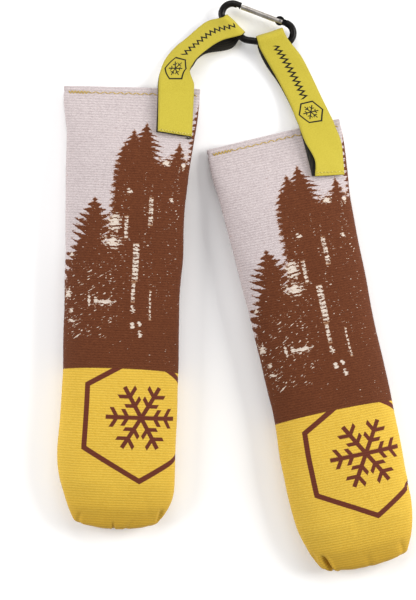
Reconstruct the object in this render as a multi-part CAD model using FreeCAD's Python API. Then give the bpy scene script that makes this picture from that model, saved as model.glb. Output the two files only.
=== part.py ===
import FreeCAD, Part
import math
import os

# A pair of boot drying pouches.  Each is a long sewn bag filled with drying
# beads.  A woven ribbon loop is sewn to the front of each bag, and both loops
# hang on one small carabiner.
#
# Row frame, millimetres: the pair lies face up on a table, +Z up.  +Y runs
# from the bottoms of the bags towards the carabiner.  The origin is under the
# middle of the whole pair, on the table.

V = FreeCAD.Vector

# ---------------------------------------------------------------- dimensions

# bags
BAG_TOP_WIDTH = 99.0
BAG_BODY_HEIGHT = 34.0
BAG_EDGE_HEIGHT = 7.2  # top of the flat seam above the table
PANEL_THICK = 0.8
LINER_INSET = 1.9
LINER_THICK = 0.3
FILL_INSET = 2.6
TABLE_SINK = 2.5  # how much of the round section the table flattens

# thread
THREAD = 0.6
SEAM_FROM_EDGE = 3.6
SEAM_ZIGZAG = 1.3
SEAM_STEP = 3.2
SIDE_STITCH = 3.0

# woven ribbon loops
RIBBON_THICK = 0.9
RIBBON_GAP = 0.5
LAYER_STEP = RIBBON_THICK + RIBBON_GAP
STITCH_LENGTH = 2.0
STITCH_COUNT = 8
STITCH_FROM_END = 2.0

# carabiner: bar path in its own plane, rivet at the origin, gate along -X
BAR_D = 5.0
BAR_Z = 8.0
CARABINER_AT = V(32.5, 190.4, BAR_Z)
CARABINER_TURN = -20.8
NOSE_X = -29.7
BAR_CORNERS = [(-41.0, 0.0, 7.5), (-41.0, -11.3, 4.5), (-19.5, -21.8, 10.0),
               (12.6, -14.3, 8.2), (12.6, 0.0, 7.4)]
BAR_END_X = 5.0
TONGUE_THICK = 1.8
TONGUE_R = 3.4
TONGUE_GAP = 0.5
RIVET_D = 1.5
RIVET_GAP = 0.1
GATE_D = 3.8
GATE_OFFSET = -0.4
GATE_END_X = -29.1
GATE_SLOT = 2.1
GATE_BORE_D = 2.2
GATE_BORE_LENGTH = 11.0
PLUNGER_D = 1.9
PLUNGER_GAP = 0.1
PLUNGER_LENGTH = 3.5
SPRING_WIRE_D = 0.3
SPRING_D = 1.9
SPRING_LENGTH = 7.0
SPRING_TURNS = 7
CATCH_THICK = 1.2
CATCH_WIDTH = 2.0
CATCH_PIN_X = -31.4
CATCH_PIN_D = 1.2
CATCH_PIN_LENGTH = 3.4
CATCH_GAP = 0.25
NOSE_SLOT_FROM_X = -33.2
NOSE_SLOT_TO_Y = 1.2
NOSE_POCKET = (0.95, 0.7, 1.95)  # half length, top, half height, round the catch pin
WRAP_OUT = BAR_D / 2 + 0.55 + RIBBON_THICK / 2  # ribbon's middle, level with the bar
WRAP_UP = 6.3  # ribbon's middle over and under the bar, where the loop is slack


# ------------------------------------------------------- where things lie

# Places below are measured from a point that this moves to the pair's middle.
TO_MIDDLE = V(-0.6, -0.5, 0)

LEFT_BAG = {"at": V(-73.5, 140.3, 0), "turn": -2.3, "widen": 1.0}
RIGHT_BAG = {"at": V(28.2, 106.4, 0), "turn": 11.7, "widen": 1.05}

# Each loop is a list of the ribbon's two edges, from the carabiner to the
# fold over the bag's top edge, for the layer in front.  "behind" moves the
# same stations of the layer behind.  "bar" is the stretch of bar that the
# loop goes round and the way that its fold faces.  "ends" go on from the
# fold, down the bag's front, to where both ends are sewn.
LEFT_STRAP = {
    "bar": (V(-8.0, 194.4, BAR_Z), V(5.0, 179.7, BAR_Z), V(0.728, 0.686, 0)),
    "loop": [(V(-20.3, 189.6, 8.0), V(-8.9, 176.0, 12.5)),
             (V(-34.6, 178.1, 4.5), V(-20.3, 168.9, 12.4)),
             (V(-43.2, 171.0, 3.6), V(-26.8, 163.1, 13.4)),
             (V(-49.6, 163.1, 4.2), V(-29.6, 158.9, 13.8)),
             (V(-53.2, 153.9, 7.5), V(-31.8, 153.9, 12.8)),
             (V(-54.3, 146.0, 11.4), V(-28.9, 145.2, 12.4)),
             (V(-54.3, 141.3, 12.6), V(-28.9, 140.6, 12.6))],
    "behind": [(V(3.3, -3.6, -4.0), V(6.4, -5.0, -6.6)),
               (V(1.0, -1.1, -0.8), V(0, -1.4, -3.0)),
               (V(0, 0, 0), V(0, 0, 0)),
               (V(0, 0, 0), V(0, 0, 0)),
               (V(-0.4, 0, 0), V(-0.4, 0, 0)),
               (V(-0.6, 0, 0), V(-0.6, 0, 0)),
               (V(-0.6, 0, 0), V(-0.6, 0, 0))],
    "ends": [(V(-54.3, 139.3, 12.8), V(-28.9, 138.6, 12.8)),
             (V(-54.4, 125.0, 20.0), V(-29.6, 123.0, 18.4)),
             (V(-54.6, 110.3, 26.0), V(-30.3, 106.7, 21.6))],
    "ends_behind": [(V(-0.6, 0, 0), V(-0.6, 0, 0)),
                    (V(-0.7, 0, 0), V(-0.7, 0, 0)),
                    (V(-0.8, 0, 0), V(-0.8, 0, 0))],
}
RIGHT_STRAP = {
    "bar": (V(16.6, 175.6, BAR_Z), V(35.6, 181.8, BAR_Z), V(-0.313, 0.95, 0)),
    "loop": [(V(17.9, 171.0, 12.5), V(39.0, 176.0, 12.5)),
             (V(23.9, 160.3, 9.5), V(47.5, 165.6, 9.5)),
             (V(31.8, 146.7, 7.5), V(54.6, 152.4, 7.5)),
             (V(39.6, 131.0, 8.2), V(62.1, 136.4, 8.2)),
             (V(44.6, 118.4, 11.6), V(68.2, 123.4, 11.6)),
             (V(46.1, 115.1, 12.6), V(70.7, 118.4, 12.6))],
    "behind": [(V(-0.8, -0.4, -8.9), V(-0.8, -0.4, -8.9)),
               (V(-1.7, -0.9, -5.1), V(-1.7, -0.9, -5.1)),
               (V(-0.6, -0.3, -2.7), V(-0.6, -0.3, -2.7)),
               (V(0, 0, -1.6), V(0, 0, -1.6)),
               (V(0, 0, -0.2), V(0, 0, -0.2)),
               (V(0, 0, 0), V(0, 0, 0))],
    "ends": [(V(46.6, 112.9, 12.9), V(71.4, 116.1, 12.9)),
             (V(50.3, 103.2, 17.4), V(76.0, 103.9, 15.6)),
             (V(57.1, 89.6, 23.8), V(77.5, 90.3, 18.6)),
             (V(57.1, 78.2, 26.2), V(78.2, 79.6, 21.8))],
    "ends_behind": [(V(0, 0, 0), V(0, 0, 0)),
                    (V(-0.8, 0, 0), V(-0.8, 0, 0)),
                    (V(-4.0, -0.6, 0), V(-1.4, -0.6, 0)),
                    (V(-1.8, 0.6, 0), V(-0.8, 0.6, 0))],
}


# ------------------------------------------------------------------- helpers

def blend_value(stations, v):
    """The value at v of a list of (position, value) pairs, in straight runs."""
    for (v0, a0), (v1, a1) in zip(stations, stations[1:]):
        if v <= v1:
            return a0 + (a1 - a0) * (v - v0) / (v1 - v0)
    return stations[-1][1]


def filleted_wire(start, corners, end):
    """A wire of straight runs and tangent arcs through corners (x, y, r)."""
    edges = []
    here = start
    points = [V(x, y, 0) for x, y, r in corners] + [end]
    for i, (x, y, r) in enumerate(corners):
        corner = V(x, y, 0)
        back = (here - corner).normalize()
        ahead = (points[i + 1] - corner).normalize()
        half = back.getAngle(ahead) / 2
        run = r / math.tan(half)
        a = corner + back * run
        b = corner + ahead * run
        bisector = (back + ahead).normalize()
        mid = corner + bisector * (r / math.sin(half) - r)
        edges.append(Part.LineSegment(here, a).toShape())
        edges.append(Part.Arc(a, mid, b).toShape())
        here = b
    edges.append(Part.LineSegment(here, end).toShape())
    return Part.Wire(edges)


def cylinder(d, length, at, axis):
    return Part.makeCylinder(d / 2, length, at, axis)


def block(x0, x1, y0, y1, z0, z1):
    return Part.makeBox(x1 - x0, y1 - y0, z1 - z0, V(x0, y0, z0))


def place(shape, at, turn):
    """The shape turned about Z at its own origin, then moved to at."""
    shape = shape.copy()
    shape.Placement = FreeCAD.Placement(at, FreeCAD.Rotation(V(0, 0, 1), turn)).multiply(shape.Placement)
    return shape


def save(name, shape):
    shape.exportStep("parts/%s.step" % name)
    print("%-28s solids %2d  volume %9.1f  valid %s"
          % (name, len(shape.Solids), shape.Volume, shape.isValid()))


# ----------------------------------------------------------------- carabiner

def carabiner_parts():
    nose = V(NOSE_X, 0, 0)
    path = filleted_wire(nose, BAR_CORNERS, V(BAR_END_X, 0, 0))
    ring = Part.Wire(Part.Circle(nose, V(-1, 0, 0), BAR_D / 2).toShape())
    body = path.makePipeShell([ring], True, True)

    # the tongue that the gate's ears straddle, with its rounded heel
    heel = cylinder(2 * TONGUE_R, TONGUE_THICK, V(0, 0, -TONGUE_THICK / 2), V(0, 0, 1))
    neck = block(0, BAR_END_X + 1, -BAR_D / 2 + 0.3, BAR_D / 2 - 0.3, -TONGUE_THICK / 2, TONGUE_THICK / 2)
    rivet_hole = cylinder(RIVET_D, BAR_D, V(0, 0, -BAR_D / 2), V(0, 0, 1))
    body = body.fuse([heel, neck]).cut(rivet_hole)

    # the nose's keyhole slot, open on the inner side
    half_slot = CATCH_THICK / 2 + CATCH_GAP
    slot = block(NOSE_SLOT_FROM_X, NOSE_X + 1, -BAR_D, NOSE_SLOT_TO_Y, -half_slot, half_slot)
    half, top, half_height = NOSE_POCKET
    pocket = block(CATCH_PIN_X - half, CATCH_PIN_X + half, -BAR_D, top, -half_height, half_height)
    body = body.cut([slot, pocket]).removeSplitter()

    tail_x = -TONGUE_R - TONGUE_GAP
    ears_x = GATE_D / 2
    gate = cylinder(GATE_D, ears_x - GATE_END_X, V(ears_x, GATE_OFFSET, 0), V(-1, 0, 0))
    gate = gate.cut(block(tail_x, GATE_D, -BAR_D, BAR_D, -GATE_SLOT / 2, GATE_SLOT / 2))
    gate = gate.cut(cylinder(GATE_BORE_D, GATE_BORE_LENGTH, V(tail_x, GATE_OFFSET, 0), V(-1, 0, 0)))
    gate = gate.cut(cylinder(RIVET_D + RIVET_GAP, BAR_D, V(0, 0, -BAR_D / 2), V(0, 0, 1)))
    catch = block(CATCH_PIN_X - 0.9, GATE_END_X + 0.5, GATE_OFFSET - CATCH_WIDTH / 2,
                  GATE_OFFSET + CATCH_WIDTH / 2, -CATCH_THICK / 2, CATCH_THICK / 2)
    catch_pin = cylinder(CATCH_PIN_D, CATCH_PIN_LENGTH,
                         V(CATCH_PIN_X, GATE_OFFSET, -CATCH_PIN_LENGTH / 2), V(0, 0, 1))
    gate = gate.fuse(catch).cut(catch_pin).removeSplitter()

    rivet = cylinder(RIVET_D, GATE_D - 0.4, V(0, 0, -GATE_D / 2 + 0.2), V(0, 0, 1))

    plunger = cylinder(PLUNGER_D, PLUNGER_LENGTH, V(-TONGUE_R - PLUNGER_GAP, GATE_OFFSET, 0), V(-1, 0, 0))
    spring_from = V(-TONGUE_R - 2 * PLUNGER_GAP - PLUNGER_LENGTH, GATE_OFFSET, 0)
    pitch = (SPRING_LENGTH - SPRING_WIRE_D) / SPRING_TURNS
    coil_r = (SPRING_D - SPRING_WIRE_D) / 2
    helix = Part.makeHelix(pitch, pitch * SPRING_TURNS, coil_r)
    wire_end = Part.Wire(Part.Circle(V(coil_r, 0, 0), V(0, 1, 0), SPRING_WIRE_D / 2).toShape())
    spring = Part.Wire(helix.Edges).makePipeShell([wire_end], True, True)
    spring.Placement = FreeCAD.Placement(spring_from - V(SPRING_WIRE_D, 0, 0),
                                         FreeCAD.Rotation(V(0, 0, 1), V(-1, 0, 0)))

    parts = {"carabiner_body": body, "carabiner_gate": gate, "gate_rivet": rivet,
             "gate_catch_pin": catch_pin, "gate_plunger": plunger, "gate_spring": spring}
    return {name: place(shape, CARABINER_AT, CARABINER_TURN) for name, shape in parts.items()}


# ---------------------------------------------------------------------- bags

# half width, top and underside height against distance down the bag
HALF_WIDTH = [(0, 49.4), (10, 48.6), (25, 46.4), (50, 44.0), (90, 42.2), (160, 41.6),
              (240, 42.0), (275, 41.4), (292, 38.6), (302, 34.0), (309, 27.5), (313, 20.0)]
TOP_RISE = [(0, 0.0), (6, 0.06), (12, 0.2), (22, 0.42), (35, 0.64), (55, 0.86), (85, 0.97),
            (130, 1.0), (250, 1.0), (280, 0.95), (297, 0.78), (308, 0.5), (313, 0.27)]
UNDERSIDE = [(0, 4.8), (6, 3.4), (12, 1.4), (20, -1.0), (32, -TABLE_SINK), (285, -TABLE_SINK),
             (298, 0.2), (308, 4.5), (313, 8.5)]
STATIONS = [0, 5, 10, 22, 40, 65, 100, 150, 210, 260, 285, 298, 307, 313]
CAVITY_STATIONS = [10, 22, 40, 65, 100, 150, 210, 260, 285, 298, 306]
CAVITY_END = 307.0


def top_height(v):
    """How high the bag's front stands above the table at distance v."""
    return BAG_EDGE_HEIGHT + (BAG_BODY_HEIGHT - BAG_EDGE_HEIGHT) * blend_value(TOP_RISE, v)


def half_width(v, widen):
    """Half the bag's width, with a plumper bag widened below its top edge."""
    return blend_value(HALF_WIDTH, v) * (1 + (widen - 1) * min(1, v / 60))


def bag_section(v, inset, widen):
    """The bag's closed outline at distance v down from its top edge."""
    a = half_width(v, widen) - inset
    top = top_height(v) - inset
    low = blend_value(UNDERSIDE, v) + inset
    b = (top - low) / 2
    power = 2.0 / (2.3 + 2.5 * max(0.0, 1 - v / 30))  # squarer at the flat top edge
    points = []
    for k in range(24):
        t = 2 * math.pi * k / 24
        c, s = math.cos(t), math.sin(t)
        x = a * math.copysign(abs(c) ** power, c)
        z = (top + low) / 2 + b * math.copysign(abs(s) ** power, s)
        points.append(V(x, -v, z))
    curve = Part.BSplineCurve()
    curve.interpolate(points, PeriodicFlag=True)
    return Part.Wire(curve.toShape())


def bag_solid(inset, widen):
    """A bag's outside, or a shell inside it, flat where it meets the table."""
    if inset == 0:
        stations = STATIONS
    else:
        stations = [min(v + inset, CAVITY_END - inset) for v in CAVITY_STATIONS]
    solid = Part.makeLoft([bag_section(v, inset, widen) for v in stations], True, False)
    above = block(-100, 100, -400, 50, inset, 100)
    return solid.common(above)


def upper_space():
    """Everything over the line of the side seams."""
    line = []
    for v in [-5, 0] + STATIONS[1:] + [330]:
        inside = max(v, 0)
        line.append(V(-100, -v, (top_height(inside) + blend_value(UNDERSIDE, inside)) / 2))
    line += [V(-100, -330, 100), V(-100, 5, 100), line[0]]
    face = Part.Face(Part.makePolygon(line))
    return face.extrude(V(200, 0, 0))


def top_seam():
    """Zigzag stitches along the top edge, a dense block of them at the left end."""
    stitches = []
    z = top_height(SEAM_FROM_EDGE + SEAM_ZIGZAG / 2) + THREAD / 2
    reach = BAG_TOP_WIDTH / 2 - 4
    x = -reach
    side = 1
    while x < reach - SEAM_STEP:
        step = SEAM_STEP if x > -reach + 12 else SEAM_STEP / 3
        a = V(x, -SEAM_FROM_EDGE + side * SEAM_ZIGZAG / 2, z)
        b = V(x + step * 0.8, -SEAM_FROM_EDGE - side * SEAM_ZIGZAG / 2, z)
        stitches.append(cylinder(THREAD, (b - a).Length, a, b - a))
        x += step
        side = -side
    return Part.makeCompound(stitches)


def side_seam(widen):
    """Lockstitches that join the two panels, just inside both long sides."""
    stitches = []
    for v in range(20, 285, 6):
        a = half_width(v, widen) - (PANEL_THICK + LINER_INSET) / 2
        z = (top_height(v) + blend_value(UNDERSIDE, v)) / 2
        for side in (-1, 1):
            stitches.append(cylinder(THREAD / 2, SIDE_STITCH, V(side * a, -v, z), V(0, -1, 0)))
    return Part.makeCompound(stitches)


def bag_parts(name, at, turn, widen):
    outside = bag_solid(0, widen)
    shell = outside.cut(bag_solid(PANEL_THICK, widen))
    upper = upper_space()
    liner = bag_solid(LINER_INSET, widen).cut(bag_solid(LINER_INSET + LINER_THICK, widen))
    parts = {
        name + "_front_panel": shell.common(upper),
        name + "_back_panel": shell.cut(upper),
        name + "_liner_bag": liner,
        name + "_drying_beads": bag_solid(FILL_INSET, widen),
        name + "_top_seam_thread": top_seam(),
        name + "_side_seam_thread": side_seam(widen),
    }
    return {n: place(shape, at, turn) for n, shape in parts.items()}


# ------------------------------------------------------------------- ribbons

def ribbon(stations):
    """A ribbon through (one edge, other edge) pairs at its middle thickness."""
    mids = [(a + b) * 0.5 for a, b in stations]
    wires = []
    for i, (a, b) in enumerate(stations):
        along = mids[min(i + 1, len(mids) - 1)] - mids[max(i - 1, 0)]
        n = (b - a).cross(along).normalize() * (RIBBON_THICK / 2)
        wires.append(Part.makePolygon([a + n, b + n, b - n, a - n, a + n]))
    return Part.makeLoft(wires, True, True)


def wrap(a, b, out):
    """Ribbon stations round a bar, from its top over the out side to below."""
    stations = []
    for k in range(7):
        t = math.radians(90 - 30 * k)
        off = out * (WRAP_OUT * math.cos(t)) + V(0, 0, WRAP_UP * math.sin(t))
        stations.append((a + off, b + off))
    return stations


def rear_layer(front, shifts):
    """The layer behind, one layer step down, each pair moved by its shift."""
    mids = [(a + b) * 0.5 for a, b in front]
    rear = []
    for i, (a, b) in enumerate(front):
        along = mids[min(i + 1, len(mids) - 1)] - mids[max(i - 1, 0)]
        n = (b - a).cross(along).normalize()
        if n.z < 0:
            n = n * -1
        down = n * LAYER_STEP
        rear.append((a - down + shifts[i][0], b - down + shifts[i][1]))
    return rear


def stitch_row(a, b):
    """A straight row of short stitches from a to b."""
    step = (b - a) * (1.0 / STITCH_COUNT)
    row = [cylinder(THREAD, STITCH_LENGTH, a + step * (k + 0.15), step) for k in range(STITCH_COUNT)]
    return Part.makeCompound(row)


def strap_parts(name, strap):
    """A side's free loop, its two sewn ends and the thread that holds them."""
    rear = rear_layer(strap["loop"], strap["behind"])
    loop = strap["loop"][::-1] + wrap(*strap["bar"]) + rear
    ends = strap["ends"]
    ends_rear = rear_layer(ends, strap["ends_behind"])
    a, b = ends[-1]
    c, d = ends[-2]
    inwards = ((c + d) - (a + b)).normalize() * STITCH_FROM_END
    lift = V(0, 0, RIBBON_THICK / 2 + THREAD / 2 + 0.2)
    return {
        name + "_strap": ribbon(loop),
        name + "_strap_sewn_ends": Part.makeCompound([ribbon(ends), ribbon(ends_rear)]),
        name + "_strap_stitching": stitch_row(a + inwards + lift, b + inwards + lift),
    }


def main():
    os.makedirs("parts", exist_ok=True)
    parts = carabiner_parts()
    parts.update(bag_parts("left", **LEFT_BAG))
    parts.update(bag_parts("right", **RIGHT_BAG))
    parts.update(strap_parts("left", LEFT_STRAP))
    parts.update(strap_parts("right", RIGHT_STRAP))
    for name, shape in parts.items():
        shape.translate(TO_MIDDLE)
        save(name, shape)


main()
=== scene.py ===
import math
import random

import bpy
import numpy as np
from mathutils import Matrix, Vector
from mathutils.bvhtree import BVHTree


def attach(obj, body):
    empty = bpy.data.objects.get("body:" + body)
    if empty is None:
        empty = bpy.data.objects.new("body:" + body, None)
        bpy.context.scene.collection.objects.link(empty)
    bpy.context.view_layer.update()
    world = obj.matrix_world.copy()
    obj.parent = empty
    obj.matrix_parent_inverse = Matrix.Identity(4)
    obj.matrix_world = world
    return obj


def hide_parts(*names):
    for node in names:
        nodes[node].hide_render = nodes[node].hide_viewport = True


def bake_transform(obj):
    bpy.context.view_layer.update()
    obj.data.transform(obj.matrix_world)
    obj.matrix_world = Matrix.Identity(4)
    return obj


# A pair of boot drying pouches on a small carabiner, lying face up on a pale
# table.  Lengths are written in millimetres and scaled to metres where a mesh
# is made.  The frame is the CAD frame: +Z up, +Y towards the carabiner.

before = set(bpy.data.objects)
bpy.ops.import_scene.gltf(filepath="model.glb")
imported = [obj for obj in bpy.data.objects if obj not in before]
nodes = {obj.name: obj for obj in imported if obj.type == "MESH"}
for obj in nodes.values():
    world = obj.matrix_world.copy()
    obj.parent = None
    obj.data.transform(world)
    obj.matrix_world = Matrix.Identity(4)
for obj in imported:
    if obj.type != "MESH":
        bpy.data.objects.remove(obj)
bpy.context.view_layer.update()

MM = 0.001
random.seed(7)
scene = bpy.context.scene

# ------------------------------------------------------------- camera, light

CAMERA_XY = (-19.5, -10.1)
CAMERA_HEIGHT = 2200.0
CAMERA_LENS = 183.6
SENSOR = 36.0
# lamps: name, place, size in metres, power in watts, colour
LAMPS = [("right", (1300.0, 300.0, 850.0), 0.9, 26.0, (1.0, 0.99, 0.97)),
         ("left", (-1300.0, 100.0, 800.0), 1.0, 17.0, (1.0, 0.98, 0.97)),
         ("far", (0.0, 1200.0, 1100.0), 0.8, 7.0, (1.0, 1.0, 1.0))]
WORLD_LIGHT = 0.43
WORLD_COLOUR = (0.985, 0.985, 1.0, 1.0)
STUDIO_LIGHT = 1.36  # how much brighter than its own colour a level surface looks


def aim(thing, target):
    """Turns a lamp or camera so that it looks at a point."""
    way = Vector(target) * MM - thing.location
    thing.rotation_euler = way.to_track_quat("-Z", "Y").to_euler()


def make_camera():
    data = bpy.data.cameras.new("camera")
    data.lens = CAMERA_LENS
    data.sensor_width = SENSOR
    data.clip_start = 0.1
    data.clip_end = 20.0
    camera = bpy.data.objects.new("camera", data)
    camera.location = (CAMERA_XY[0] * MM, CAMERA_XY[1] * MM, CAMERA_HEIGHT * MM)
    scene.collection.objects.link(camera)
    scene.camera = camera


def make_light():
    for name, place, size, power, tint in LAMPS:
        data = bpy.data.lights.new(name, "AREA")
        data.energy = power
        data.size = size
        data.color = tint
        lamp = bpy.data.objects.new(name, data)
        lamp.location = Vector(place) * MM
        aim(lamp, (0, 0, 0))
        scene.collection.objects.link(lamp)
    world = bpy.data.worlds.new("studio")
    world.use_nodes = True
    background = world.node_tree.nodes["Background"]
    background.inputs["Color"].default_value = WORLD_COLOUR
    background.inputs["Strength"].default_value = WORLD_LIGHT
    scene.world = world
    scene.view_settings.view_transform = "Standard"


# ------------------------------------------------------------ shader helpers

class Value:
    """A number in a shader's node tree that takes ordinary arithmetic."""

    def __init__(self, tree, socket):
        self.tree = tree
        self.socket = socket

    def maths(self, operation, *others):
        node = self.tree.nodes.new("ShaderNodeMath")
        node.operation = operation
        self.tree.links.new(self.socket, node.inputs[0])
        for i, other in enumerate(others):
            if isinstance(other, Value):
                self.tree.links.new(other.socket, node.inputs[i + 1])
            else:
                node.inputs[i + 1].default_value = other
        return Value(self.tree, node.outputs[0])

    def __add__(self, other):
        return self.maths("ADD", other)

    def __sub__(self, other):
        return self.maths("SUBTRACT", other)

    def __rsub__(self, other):
        return self.maths("MULTIPLY", -1.0).maths("ADD", other)

    def __mul__(self, other):
        return self.maths("MULTIPLY", other)

    def __truediv__(self, other):
        return self.maths("DIVIDE", other)

    __radd__ = __add__
    __rmul__ = __mul__

    def size(self):
        return self.maths("ABSOLUTE")

    def least(self, other):
        return self.maths("MINIMUM", other)

    def most(self, other):
        return self.maths("MAXIMUM", other)

    def fraction(self):
        return self.maths("FRACT")

    def wave(self, pitch):
        """A sine from 0 to 1 with this pitch."""
        return (self * (2 * math.pi / pitch)).maths("SINE") * 0.5 + 0.5

    def between(self, low, high):
        """0 below low, 1 above high and smooth in between."""
        node = self.tree.nodes.new("ShaderNodeMapRange")
        node.interpolation_type = "SMOOTHSTEP"
        self.tree.links.new(self.socket, node.inputs["Value"])
        node.inputs["From Min"].default_value = low
        node.inputs["From Max"].default_value = high
        return Value(self.tree, node.outputs["Result"])


def length_of(a, b):
    return (a * a + b * b).maths("SQRT")


def noise(x, y, z, detail=2.0, roughness=0.5):
    """Noise from about 0.2 to 0.8 at a point in noise space."""
    tree = x.tree
    joined = tree.nodes.new("ShaderNodeCombineXYZ")
    tree.links.new(x.socket, joined.inputs[0])
    tree.links.new(y.socket, joined.inputs[1])
    joined.inputs[2].default_value = z
    node = tree.nodes.new("ShaderNodeTexNoise")
    node.inputs["Scale"].default_value = 1.0
    node.inputs["Detail"].default_value = detail
    node.inputs["Roughness"].default_value = roughness
    tree.links.new(joined.outputs[0], node.inputs["Vector"])
    return Value(tree, node.outputs[0])


def colour(sr, sg, sb):
    """The linear base colour that looks like this sRGB one under the studio's light."""
    linear = [((c / 255 + 0.055) / 1.055) ** 2.4 / STUDIO_LIGHT for c in (sr, sg, sb)]
    return (*linear, 1.0)


def mix(factor, a, b):
    """Colour a where factor is 0 and b where it is 1; a and b are colours or sockets."""
    tree = factor.tree
    node = tree.nodes.new("ShaderNodeMix")
    node.data_type = "RGBA"
    tree.links.new(factor.socket, node.inputs[0])
    for socket, value in ((node.inputs[6], a), (node.inputs[7], b)):
        if isinstance(value, bpy.types.NodeSocket):
            tree.links.new(value, socket)
        else:
            socket.default_value = value
    return node.outputs[2]


def shade(tree, base, amount):
    """The base colour times a grey amount."""
    node = tree.nodes.new("ShaderNodeVectorMath")
    node.operation = "SCALE"
    tree.links.new(base, node.inputs[0])
    tree.links.new(amount.socket, node.inputs["Scale"])
    return node.outputs[0]


def new_material(name):
    """(material, its node tree, its surface shader)."""
    material = bpy.data.materials.new(name)
    material.use_nodes = True
    return material, material.node_tree, material.node_tree.nodes["Principled BSDF"]


def place_on(tree, attribute):
    """The three parts of a point attribute, in millimetres on the flat piece."""
    node = tree.nodes.new("ShaderNodeAttribute")
    node.attribute_name = attribute
    parts = tree.nodes.new("ShaderNodeSeparateXYZ")
    tree.links.new(node.outputs["Vector"], parts.inputs[0])
    return [Value(tree, parts.outputs[i]) for i in range(3)]


def object_place(tree):
    """The three object coordinates, in millimetres."""
    node = tree.nodes.new("ShaderNodeTexCoord")
    parts = tree.nodes.new("ShaderNodeSeparateXYZ")
    tree.links.new(node.outputs["Object"], parts.inputs[0])
    return [Value(tree, parts.outputs[i]) * 1000.0 for i in range(3)]


def bump(tree, shader, height, depth):
    """Relief on the shader: height 0..1 over a depth in millimetres."""
    node = tree.nodes.new("ShaderNodeBump")
    node.inputs["Strength"].default_value = 1.0
    node.inputs["Distance"].default_value = depth * MM
    tree.links.new(height.socket, node.inputs["Height"])
    tree.links.new(node.outputs[0], shader.inputs["Normal"])


# -------------------------------------------------------------- the printing

PALE = colour(221, 209, 209)
PALE_SHADE = colour(190, 176, 177)
BROWN = colour(116, 64, 36)
BROWN_DARK = colour(92, 46, 23)
FRINGE = colour(176, 120, 66)
CREAM = colour(228, 214, 200)
YELLOW = colour(238, 199, 80)
YELLOW_DEEP = colour(222, 178, 56)
# painted shade: the darker yellow mixed in near the bottom edge, where the cloth slopes away from the
# light
YELLOW_PAINTED_SHADE = colour(206, 154, 36)
LINE_BROWN = colour(108, 52, 36)
YELLOW_FROM = 198.5
YELLOW_BEND = 0.0011  # the yellow's edge runs lower towards both sides, by this times u squared
BOTTOM_SHADE_SPAN = (276.0, 324.0)  # painted shade: the yellow is darkened over this stretch towards the bottom edge
# emblem: middle x, middle y, half width across the sides or arm length, half stroke
FRAME = (16.4, 233.0, 39.0, 1.85)
FLAKE = (16.4, 233.0, 25.0, 1.5)
FLAKE_BARBS = ((9.5, 6.0), (17.0, 7.0))  # where on the arm each pair starts, how far it spreads
SIXTH = math.pi / 3

# the solid wood's edges: its top, its left side, and where it fills the whole width
WOOD_TOP = 50.0
WOOD_LEFT = -6.4
WOOD_LOW = 168.0
BRANCH_STEP = 4.7
BRANCH_LENGTH = 3.4
RUNG_STEP = 2.9
# trees: top x, top y, half width gained per millimetre, widest, tier, rise
TREES = [(11.2, 23.5, 0.75, 12.5, 3.6, -0.08),
         (2.8, 28.5, 0.70, 9.0, 3.9, 0.05),
         (-2.6, 38.5, 0.70, 6.8, 4.4, 0.10),
         (0.0, 54.0, 0.90, 10.0, 5.0, 0.15),
         (35.2, 36.5, 0.62, 12.5, 4.3, 0.12),
         (48.8, 8.0, 0.62, 6.5, 4.2, 0.15),
         (-20.9, 77.5, 0.92, 17.0, 5.4, 0.62),
         (-29.0, 106.0, 1.30, 23.0, 7.4, 0.45)]
# openings in the wood: middle x, middle y, half width, half height
OPENINGS = [(-7.0, 95.0, 6.5, 9.0), (-7.5, 109.0, 8.5, 6.0), (-11.5, 152.0, 9.0, 2.6),
            (-23.2, 151.0, 1.8, 6.0), (-18.0, 151.0, 2.2, 4.0), (-37.5, 158.8, 3.0, 2.4),
            (-36.5, 165.6, 5.0, 1.8), (-41.5, 147.0, 5.5, 4.6), (8.2, 156.3, 2.4, 3.4),
            (8.0, 168.0, 2.2, 4.0), (13.0, 166.4, 2.0, 3.4), (13.4, 173.6, 2.2, 3.4),
            (41.0, 46.0, 3.6, 5.0), (39.5, 53.0, 2.4, 3.4), (27.0, 52.0, 5.0, 3.0),
            (-38.0, 119.0, 2.5, 2.5), (33.0, 78.0, 2.6, 2.2), (2.6, 73.0, 2.4, 3.0)]
# upright gaps crossed by branches: x, top, bottom, half width
LADDERS = [(8.8, 109.0, 137.0, 2.3), (8.2, 137.0, 152.0, 1.5), (18.4, 76.0, 97.0, 1.7),
           (1.6, 90.0, 107.0, 1.5), (20.5, 142.0, 164.0, 0.9)]


def conifer(u, v, ragged, tree):
    """How far inside a tree's outline a point is, in millimetres."""
    x0, y0, spread, widest, tier, rise = tree
    out = (u - x0).size()
    down = v - y0
    tiers = ((v + out * rise + ragged * 3.0) / tier).fraction()
    reach = (down * spread).least(widest) * (tiers * 0.72 + 0.34 + ragged * 0.5)
    return (reach - out).least(down * 1.6)


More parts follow.
